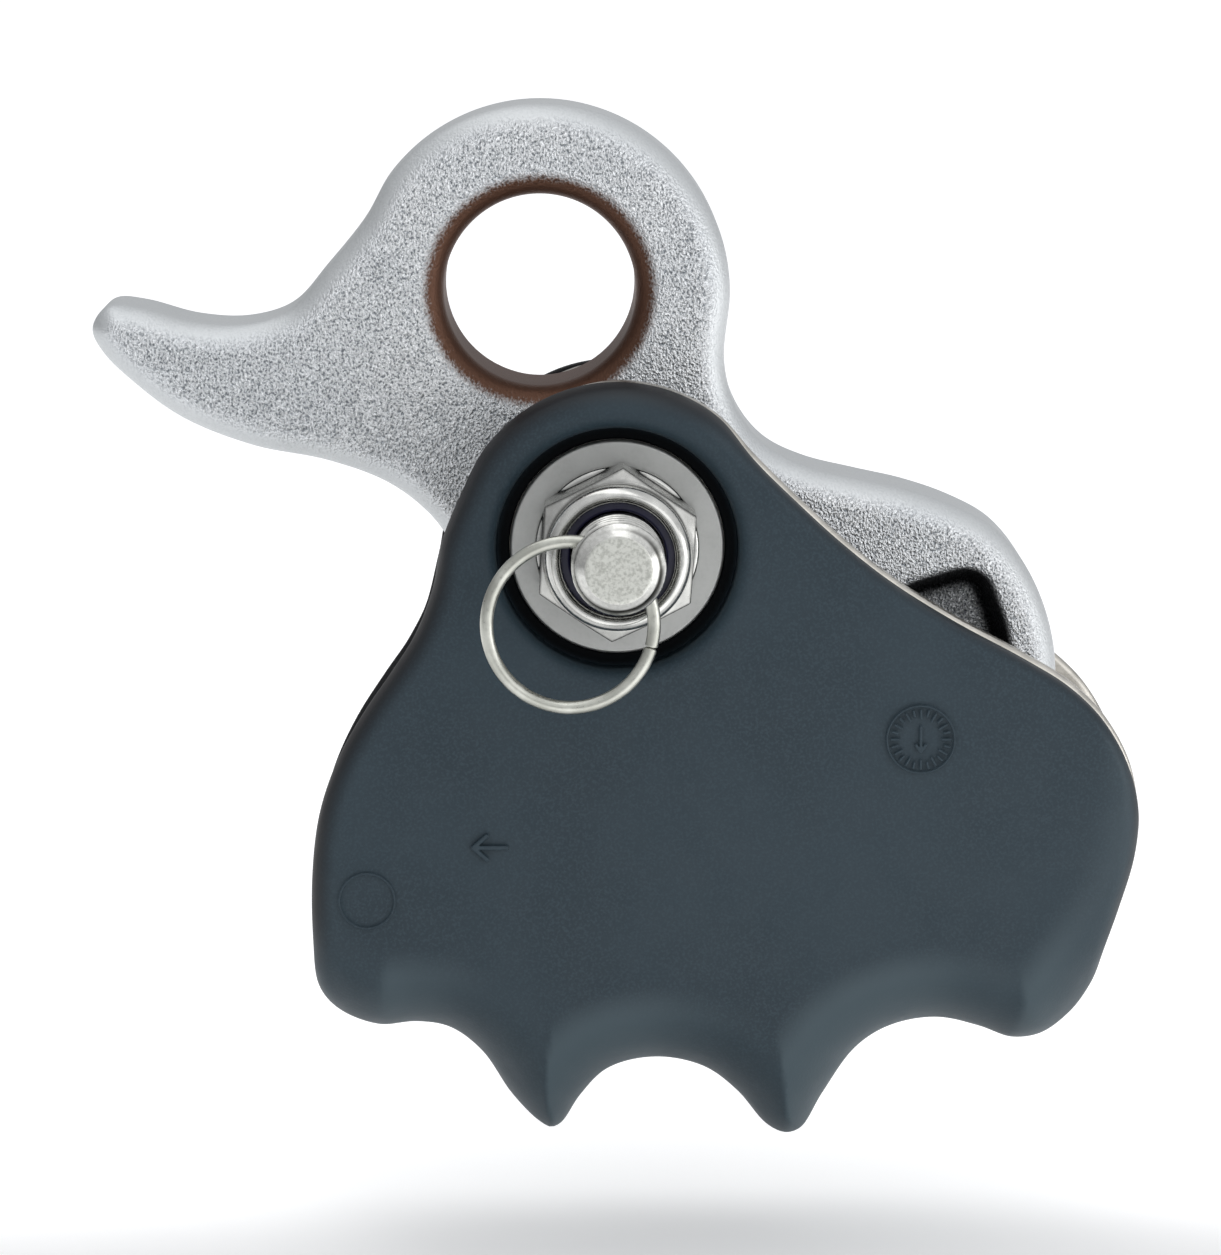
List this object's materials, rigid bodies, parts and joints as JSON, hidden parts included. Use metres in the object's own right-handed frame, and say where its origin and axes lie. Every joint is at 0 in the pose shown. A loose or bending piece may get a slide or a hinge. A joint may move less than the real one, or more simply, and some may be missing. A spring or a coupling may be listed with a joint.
{
  "type": "mechanical rope grab",
  "caption": "Hand-operated rope grab: a sprung forged brake arm turns on a bolt inside a steel channel with a finger-grooved moulded cover, and a split ring locks the bolt.",
  "frame": {"origin": "on the floor of the rope channel, straight below the pivot bolt, midway between the plates", "axes": "+X along the rope, towards the brake lobe's end; +Y along the pivot bolt, from the nut to the head; +Z from the rope seat up to the pivot and the eye"},
  "size_m": [0.089, 0.0442, 0.0894],
  "materials": {
    "channel_steel": "satin pressed stainless steel",
    "moulding": "matt, very fine grain",
    "bright_steel": "bright stainless steel",
    "nut_steel": "bright stainless steel",
    "nylon": "satin",
    "ring_steel": "drawn steel wire",
    "washer_steel": "matt stamped steel",
    "acetal": "satin",
    "spring_steel": "drawn spring wire",
    "forged_steel": "shot-blasted, fine cast grain",
    "bronze": "satin bearing bronze"
  },
  "bodies": {
    "shell": {"channel": "channel_steel", "grip_moulding": "moulding", "pivot_bolt": "bright_steel", "lock_nut": "nut_steel", "nut_insert": "nylon", "front_washer": "washer_steel", "rear_washer": "washer_steel", "spacer_sleeve": "bright_steel", "front_thrust_washer": "acetal", "rear_thrust_washer": "acetal", "return_spring": "spring_steel"},
    "arm": {"cam_arm": "forged_steel", "arm_bush": "bronze"},
    "ring": {"keeper_ring": "ring_steel"}
  },
  "joints": [
    {"name": "arm_pivot", "type": "hinge", "parent": "shell", "child": "arm", "pos_m": [0, 0, 0.035], "axis": [0, 1, 0], "range_deg": [-40, 27], "stiffness_Nm_per_rad": 0.15, "deforming": ["return_spring"]},
    {"name": "ring_swing", "type": "hinge", "parent": "shell", "child": "ring", "pos_m": [0, -0.0239, 0.035], "axis": [0.7771, 0, -0.6293], "range_deg": [-230, 50]}
  ]
}
